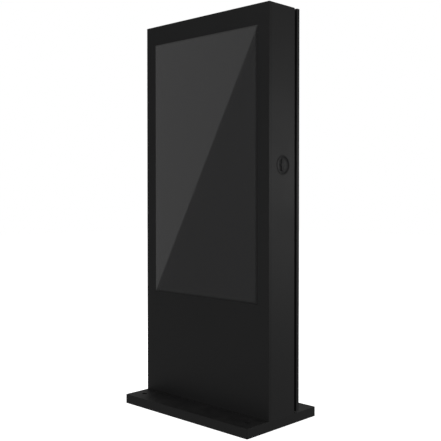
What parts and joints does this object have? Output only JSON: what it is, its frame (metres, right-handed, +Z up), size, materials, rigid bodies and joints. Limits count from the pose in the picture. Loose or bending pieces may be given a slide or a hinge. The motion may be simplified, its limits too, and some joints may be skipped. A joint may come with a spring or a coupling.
{
  "type": "touchscreen kiosk",
  "caption": "Free-standing flat totem with a tall touchscreen behind glass, a wide floor plinth, a rear service door and a flush turn handle working lock rods.",
  "frame": {"origin": "middle of the plinth's footprint, on the floor", "axes": "+Z up, +Y towards the rear door, -Y the side the screen faces, +X the side with the turn handle, to the right of a person who faces the screen"},
  "size_m": [0.813, 0.476, 1.875],
  "materials": {
    "casing_paint": "fine-textured dark grey powder coat, satin",
    "bezel_paint": "smooth black powder coat, satin",
    "plinth_paint": "fine-textured dark grey powder coat, satin",
    "cover_glass": "toughened glass, polished",
    "display_black": "switched-off display, smooth dark",
    "touch_film": "clear film over a dark display",
    "zinc_steel": "zinc-plated folded sheet",
    "bolt_steel": "zinc-plated fasteners",
    "aluminium_case": "satin extrusion",
    "black_plastic": "moulded, fine texture",
    "grey_plastic": "moulded light grey",
    "white_plastic": "moulded off-white",
    "green_plastic": "moulded green-grey",
    "seal_rubber": "foamed black rubber",
    "cable_sheath": "matt black flexible sheath",
    "filter_foam": "open-cell dark filter mat",
    "lock_chrome": "satin chrome",
    "lock_black": "black cast zinc, satin"
  },
  "bodies": {
    "cabinet": {"plinth_shell": "plinth_paint", "plinth_frame": "plinth_paint", "base_bolts": "bolt_steel", "side_panel_left": "casing_paint", "side_panel_right": "casing_paint", "top_panel": "casing_paint", "bottom_panel": "casing_paint", "upright_left": "zinc_steel", "upright_right": "zinc_steel", "cable_grommet": "seal_rubber", "display_crossbars": "zinc_steel", "door_seal": "seal_rubber", "front_bezel": "bezel_paint", "front_nuts": "bolt_steel", "cover_glass": "cover_glass", "touch_sensor": "touch_film", "glass_gasket": "seal_rubber", "glass_retainers": "zinc_steel", "lcd_panel": "display_black", "lcd_chassis": "zinc_steel", "lcd_rear_cover": "black_plastic", "display_brackets": "zinc_steel", "display_bolts": "bolt_steel", "equipment_plate": "zinc_steel", "media_player": "aluminium_case", "power_supply": "aluminium_case", "din_rail": "zinc_steel", "breaker": "white_plastic", "terminal_block": "green_plastic", "touch_controller": "black_plastic", "fan_bracket": "zinc_steel", "fan_frames": "black_plastic", "fan_guards": "bolt_steel", "cable_power": "cable_sheath", "cable_display_power": "cable_sheath", "cable_video": "cable_sheath", "cable_touch": "cable_sheath", "cable_fans": "cable_sheath", "cable_clips": "grey_plastic", "hinge_body_leaves": "lock_black", "hinge_pins": "bolt_steel", "lock_cup": "lock_black", "lock_body": "lock_black", "lock_rod_guides": "black_plastic"},
    "rear_door": {"rear_door": "casing_paint", "vent_grilles": "casing_paint", "filter_mats": "filter_foam", "grille_screws": "bolt_steel", "door_stiffeners": "zinc_steel", "door_keepers": "zinc_steel", "hinge_door_leaves": "lock_black"},
    "turn_handle": {"turn_handle": "lock_black", "lock_cam": "zinc_steel"},
    "key_cylinder": {"key_cylinder": "lock_chrome"},
    "lock_rod_upper": {"lock_rod_upper": "zinc_steel"},
    "lock_rod_lower": {"lock_rod_lower": "zinc_steel"},
    "fan_rotor_left": {"fan_rotor_left": "black_plastic"},
    "fan_rotor_right": {"fan_rotor_right": "black_plastic"},
    "media_player_button": {"media_player_button": "black_plastic"},
    "breaker_toggle": {"breaker_toggle": "black_plastic"}
  },
  "joints": [
    {"name": "rear_door_swing", "type": "hinge", "parent": "cabinet", "child": "rear_door", "pos_m": [-0.4005, 0.089, 0.96], "axis": [0, 0, 1], "range_deg": [0, 110]},
    {"name": "handle_turn", "type": "hinge", "parent": "cabinet", "child": "turn_handle", "pos_m": [0.405, 0, 1.168], "axis": [1, 0, 0], "range_deg": [0, 90]},
    {"name": "key_turn", "type": "hinge", "parent": "turn_handle", "child": "key_cylinder", "pos_m": [0.405, 0, 1.168], "axis": [1, 0, 0], "range_deg": [0, 90]},
    {"name": "upper_rod_slide", "type": "slide", "parent": "cabinet", "child": "lock_rod_upper", "axis": [0, 0, 1], "range_m": [0, 0.0255]},
    {"name": "lower_rod_slide", "type": "slide", "parent": "cabinet", "child": "lock_rod_lower", "axis": [0, 0, 1], "range_m": [-0.0255, 0]},
    {"name": "fan_left_spin", "type": "hinge", "parent": "cabinet", "child": "fan_rotor_left", "pos_m": [-0.13, 0.06, 1.765], "axis": [0, 1, 0], "continuous": true},
    {"name": "fan_right_spin", "type": "hinge", "parent": "cabinet", "child": "fan_rotor_right", "pos_m": [0.13, 0.06, 1.765], "axis": [0, 1, 0], "continuous": true},
    {"name": "power_button_press", "type": "slide", "parent": "cabinet", "child": "media_player_button", "axis": [0, -1, 0], "range_m": [0, 0.0015], "stiffness_N_per_m": 400},
    {"name": "breaker_toggle_throw", "type": "hinge", "parent": "cabinet", "child": "breaker_toggle", "pos_m": [-0.182, 0.032, 0.22], "axis": [1, 0, 0], "range_deg": [-60, 0]}
  ],
  "couplings": [
    {"joint": "upper_rod_slide", "follows": "handle_turn", "m_per_rad": 0.016206},
    {"joint": "lower_rod_slide", "follows": "handle_turn", "m_per_rad": -0.016206}
  ]
}
